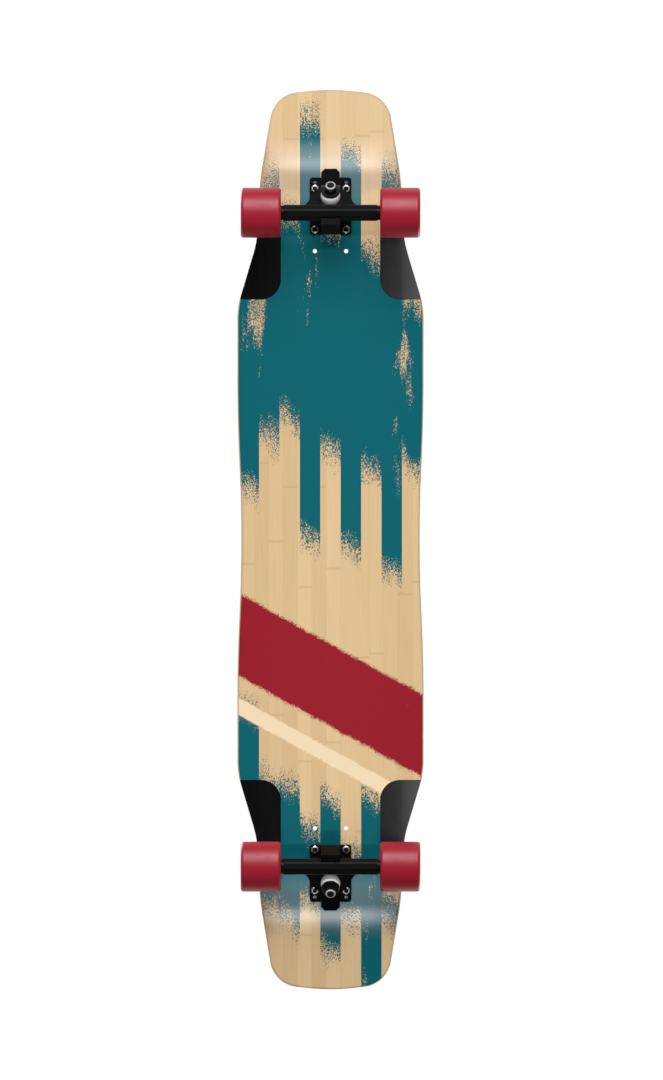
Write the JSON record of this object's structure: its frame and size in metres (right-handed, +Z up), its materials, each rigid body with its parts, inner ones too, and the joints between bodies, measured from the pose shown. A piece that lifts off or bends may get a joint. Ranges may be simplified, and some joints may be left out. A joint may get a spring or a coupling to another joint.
{
  "type": "longboard skateboard",
  "caption": "Double-kick longboard skateboard: concave laminated deck on sprung reverse-kingpin trucks, with urethane wheels turning on ball bearings.",
  "frame": {"origin": "on the ground, under the middle of the deck", "axes": "+X towards the nose, +Y to the left of travel, +Z up"},
  "size_m": [1.1902, 0.246, 0.1373],
  "materials": {
    "bamboo_veneer": "clear-lacquered bamboo with a worn printed graphic",
    "maple_core": "cross-laminated plies, edge lacquered, wells painted black",
    "grip": "black abrasive grip tape",
    "black_casting": "satin black powder coat on cast aluminium",
    "zinc_steel": "bright zinc plate",
    "black_steel": "black oxide steel",
    "axle_steel": "ground steel",
    "bearing_steel": "polished bearing steel",
    "bushing_urethane": "white cast urethane",
    "cup_urethane": "black urethane",
    "wheel_urethane": "crimson cast urethane, ground tread",
    "core_plastic": "glass-filled nylon"
  },
  "bodies": {
    "board": {"deck_bottom_veneer": "bamboo_veneer", "deck_core": "maple_core", "deck_top_veneer": "bamboo_veneer", "grip_tape": "grip", "front_baseplate": "black_casting", "front_pivot_cup": "cup_urethane", "front_kingpin": "black_steel", "front_kingpin_nut": "black_steel", "front_boardside_bushing": "bushing_urethane", "front_roadside_bushing": "bushing_urethane", "front_boardside_washer": "black_steel", "front_roadside_washer": "black_steel", "front_deck_bolts": "black_steel", "front_deck_nuts": "zinc_steel", "rear_baseplate": "black_casting", "rear_pivot_cup": "cup_urethane", "rear_kingpin": "black_steel", "rear_kingpin_nut": "black_steel", "rear_boardside_bushing": "bushing_urethane", "rear_roadside_bushing": "bushing_urethane", "rear_boardside_washer": "black_steel", "rear_roadside_washer": "black_steel", "rear_deck_bolts": "black_steel", "rear_deck_nuts": "zinc_steel"},
    "front_hanger_body": {"front_hanger": "black_casting", "front_axle": "axle_steel", "front_inner_races": "bearing_steel", "front_spacers": "axle_steel", "front_speed_washers": "zinc_steel", "front_axle_nuts": "zinc_steel"},
    "front_left_wheel": {"front_left_tyre": "wheel_urethane", "front_left_wheel_core": "core_plastic", "front_left_outer_races": "bearing_steel", "front_left_bearing_shields": "bearing_steel"},
    "front_left_balls": {"front_left_ball_sets": "bearing_steel"},
    "front_right_wheel": {"front_right_tyre": "wheel_urethane", "front_right_wheel_core": "core_plastic", "front_right_outer_races": "bearing_steel", "front_right_bearing_shields": "bearing_steel"},
    "front_right_balls": {"front_right_ball_sets": "bearing_steel"},
    "rear_hanger_body": {"rear_hanger": "black_casting", "rear_axle": "axle_steel", "rear_inner_races": "bearing_steel", "rear_spacers": "axle_steel", "rear_speed_washers": "zinc_steel", "rear_axle_nuts": "zinc_steel"},
    "rear_left_wheel": {"rear_left_tyre": "wheel_urethane", "rear_left_wheel_core": "core_plastic", "rear_left_outer_races": "bearing_steel", "rear_left_bearing_shields": "bearing_steel"},
    "rear_left_balls": {"rear_left_ball_sets": "bearing_steel"},
    "rear_right_wheel": {"rear_right_tyre": "wheel_urethane", "rear_right_wheel_core": "core_plastic", "rear_right_outer_races": "bearing_steel", "rear_right_bearing_shields": "bearing_steel"},
    "rear_right_balls": {"rear_right_ball_sets": "bearing_steel"}
  },
  "joints": [
    {"name": "front_steer", "type": "hinge", "parent": "board", "child": "front_hanger_body", "pos_m": [0.44694, 0, 0.05648], "axis": [0.766, 0, 0.6428], "range_deg": [-18, 18], "stiffness_Nm_per_rad": 30, "deforming": ["front_boardside_bushing", "front_roadside_bushing"]},
    {"name": "front_left_wheel_spin", "type": "hinge", "parent": "front_hanger_body", "child": "front_left_wheel", "pos_m": [0.4314, 0.092, 0.033], "axis": [0, 1, 0], "continuous": true},
    {"name": "front_left_balls_roll", "type": "hinge", "parent": "front_hanger_body", "child": "front_left_balls", "pos_m": [0.4314, 0.092, 0.033], "axis": [0, 1, 0], "continuous": true},
    {"name": "front_right_wheel_spin", "type": "hinge", "parent": "front_hanger_body", "child": "front_right_wheel", "pos_m": [0.4314, -0.092, 0.033], "axis": [0, 1, 0], "continuous": true},
    {"name": "front_right_balls_roll", "type": "hinge", "parent": "front_hanger_body", "child": "front_right_balls", "pos_m": [0.4314, -0.092, 0.033], "axis": [0, 1, 0], "continuous": true},
    {"name": "rear_steer", "type": "hinge", "parent": "board", "child": "rear_hanger_body", "pos_m": [-0.44694, 0, 0.05648], "axis": [0.766, 0, -0.6428], "range_deg": [-18, 18], "stiffness_Nm_per_rad": 30, "deforming": ["rear_boardside_bushing", "rear_roadside_bushing"]},
    {"name": "rear_left_wheel_spin", "type": "hinge", "parent": "rear_hanger_body", "child": "rear_left_wheel", "pos_m": [-0.4314, 0.092, 0.033], "axis": [0, 1, 0], "continuous": true},
    {"name": "rear_left_balls_roll", "type": "hinge", "parent": "rear_hanger_body", "child": "rear_left_balls", "pos_m": [-0.4314, 0.092, 0.033], "axis": [0, 1, 0], "continuous": true},
    {"name": "rear_right_wheel_spin", "type": "hinge", "parent": "rear_hanger_body", "child": "rear_right_wheel", "pos_m": [-0.4314, -0.092, 0.033], "axis": [0, 1, 0], "continuous": true},
    {"name": "rear_right_balls_roll", "type": "hinge", "parent": "rear_hanger_body", "child": "rear_right_balls", "pos_m": [-0.4314, -0.092, 0.033], "axis": [0, 1, 0], "continuous": true}
  ],
  "couplings": [
    {"joint": "front_left_balls_roll", "follows": "front_left_wheel_spin", "ratio": 0.6323},
    {"joint": "front_right_balls_roll", "follows": "front_right_wheel_spin", "ratio": 0.6323},
    {"joint": "rear_left_balls_roll", "follows": "rear_left_wheel_spin", "ratio": 0.6323},
    {"joint": "rear_right_balls_roll", "follows": "rear_right_wheel_spin", "ratio": 0.6323}
  ]
}
